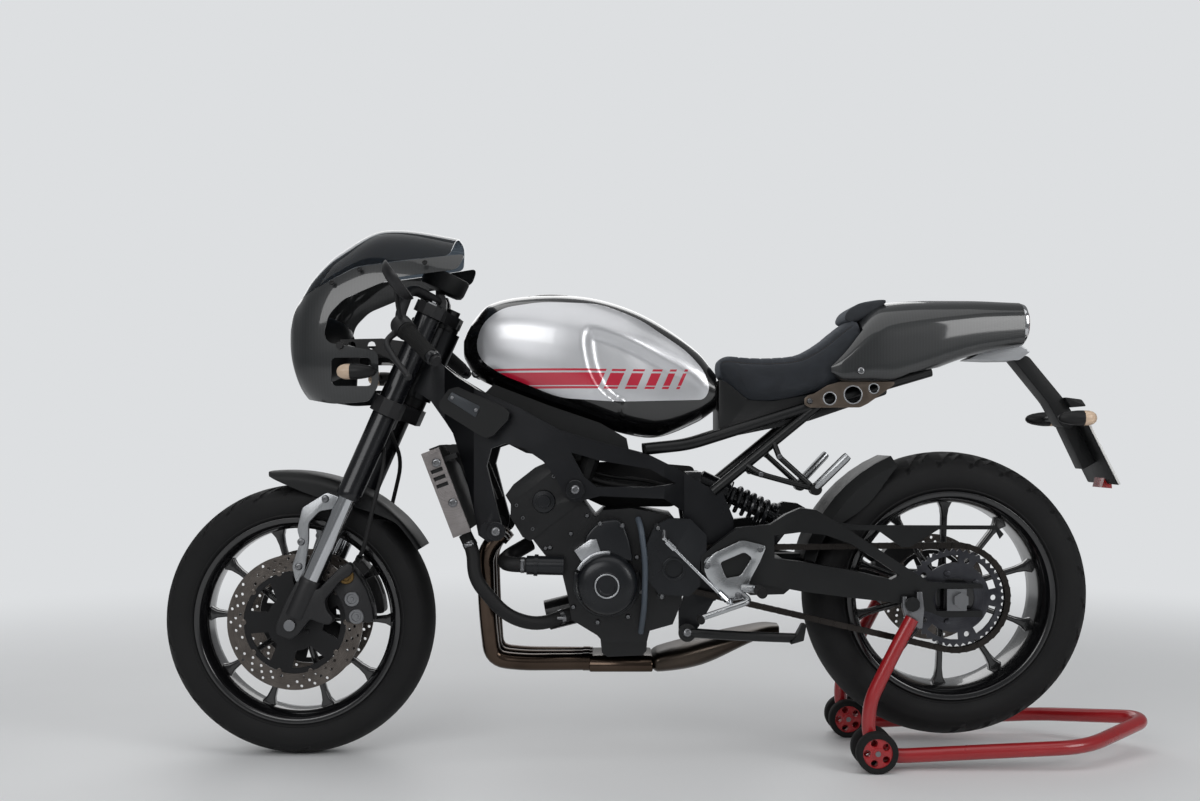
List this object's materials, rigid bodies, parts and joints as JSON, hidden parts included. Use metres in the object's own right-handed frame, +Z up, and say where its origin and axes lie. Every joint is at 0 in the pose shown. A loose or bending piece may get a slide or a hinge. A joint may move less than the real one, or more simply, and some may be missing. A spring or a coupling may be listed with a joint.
{
  "type": "naked sport motorcycle with nose cowl on a rear paddock stand",
  "caption": "Naked sport motorcycle with round nose cowl, silver side tank panels and humped tail, held upright by a red tubular paddock stand under its swingarm.",
  "frame": {"origin": "on the floor, under the middle of the machine and its stand", "axes": "+X forward, +Y to the rider's left, +Z up"},
  "size_m": [2.195, 0.6926, 1.165],
  "materials": {
    "aluminium": "brushed aluminium",
    "black_cast": "satin black paint on cast aluminium",
    "black_gloss": "gloss black paint",
    "black_plastic": "fine-grained black plastic",
    "carbon": "lacquered carbon weave",
    "clear": "clear lens",
    "dark_steel": "dark coated metal",
    "grey_cast": "dark grey satin paint",
    "header": "heat-darkened steel",
    "red_lens": "red lens",
    "red_paint": "red powder coat",
    "rubber": "black rubber",
    "silver_paint": "silver metallic paint",
    "smoke": "smoked screen",
    "steel": "ground steel",
    "suede": "dark suede-like cover",
    "tyre": "tyre rubber",
    "white": "blank white plate"
  },
  "bodies": {
    "chassis": {"frame": "grey_cast", "engine_block": "dark_steel", "generator_cover": "grey_cast", "clutch_cover": "grey_cast", "intake": "black_plastic", "exhaust": "header", "fuel_tank": "black_gloss", "tank_panel_left": "silver_paint", "tank_panel_right": "silver_paint", "subframe": "black_cast", "seat": "suede", "tail_cowl": "carbon", "seat_pad": "suede", "tail_lamp": "red_lens", "plate_holder": "black_plastic", "number_plate": "white", "side_duct_left": "black_plastic", "side_duct_right": "black_plastic", "radiator": "dark_steel", "coolant_hose": "rubber", "swingarm": "black_cast", "rear_axle": "aluminium", "shock_absorber": "dark_steel", "rear_hugger": "black_plastic", "rear_caliper": "black_cast", "chain": "dark_steel", "footrest_left": "aluminium", "footrest_right": "aluminium", "paddock_stand": "red_paint"},
    "steering": {"lower_yoke": "black_cast", "upper_yoke": "black_cast", "fork_tube_left": "black_gloss", "fork_tube_right": "black_gloss", "fork_slider_left": "steel", "fork_slider_right": "steel", "front_axle": "steel", "handlebar": "black_cast", "instrument": "black_plastic", "front_mudguard": "black_plastic", "front_caliper_left": "black_cast", "front_caliper_right": "black_cast", "brake_hoses": "rubber", "nose_cowl": "carbon", "windscreen": "smoke", "cowl_bracket": "aluminium", "headlamp": "clear"},
    "front_wheel": {"front_rim": "black_gloss", "front_tyre": "tyre", "front_disc_left": "steel", "front_disc_right": "steel"},
    "rear_wheel": {"rear_rim": "black_gloss", "rear_tyre": "tyre", "rear_disc": "steel", "rear_sprocket": "dark_steel"},
    "side_stand": {"side_stand": "black_cast"},
    "fuel_cap": {"fuel_cap": "black_gloss"},
    "stand_wheels_left": {"stand_wheels_left": "rubber"},
    "stand_wheels_right": {"stand_wheels_right": "rubber"}
  },
  "joints": [
    {"name": "steering", "type": "hinge", "parent": "chassis", "child": "steering", "pos_m": [0.4649, 0, 0.96717], "axis": [-0.4067, 0, 0.9135], "range_deg": [-30, 30]},
    {"name": "front_wheel_spin", "type": "hinge", "parent": "steering", "child": "front_wheel", "pos_m": [0.79807, 0, 0.3], "axis": [0, 1, 0], "continuous": true},
    {"name": "rear_wheel_spin", "type": "hinge", "parent": "chassis", "child": "rear_wheel", "pos_m": [-0.64095, 0, 0.35898], "axis": [0, 1, 0], "continuous": true},
    {"name": "side_stand_fold", "type": "hinge", "parent": "chassis", "child": "side_stand", "pos_m": [-0.06, 0.1275, 0.28497], "axis": [0, -0.9659, -0.2588], "range_deg": [0, 100]},
    {"name": "fuel_cap_lid", "type": "hinge", "parent": "chassis", "child": "fuel_cap", "pos_m": [0.286, 0, 1.02097], "axis": [0, 1, 0], "range_deg": [0, 95]},
    {"name": "stand_wheels_left_spin", "type": "hinge", "parent": "chassis", "child": "stand_wheels_left", "pos_m": [-0.454, 0, 0.044], "axis": [0, 1, 0], "continuous": true},
    {"name": "stand_wheels_right_spin", "type": "hinge", "parent": "chassis", "child": "stand_wheels_right", "pos_m": [-0.454, 0, 0.044], "axis": [0, 1, 0], "continuous": true}
  ]
}
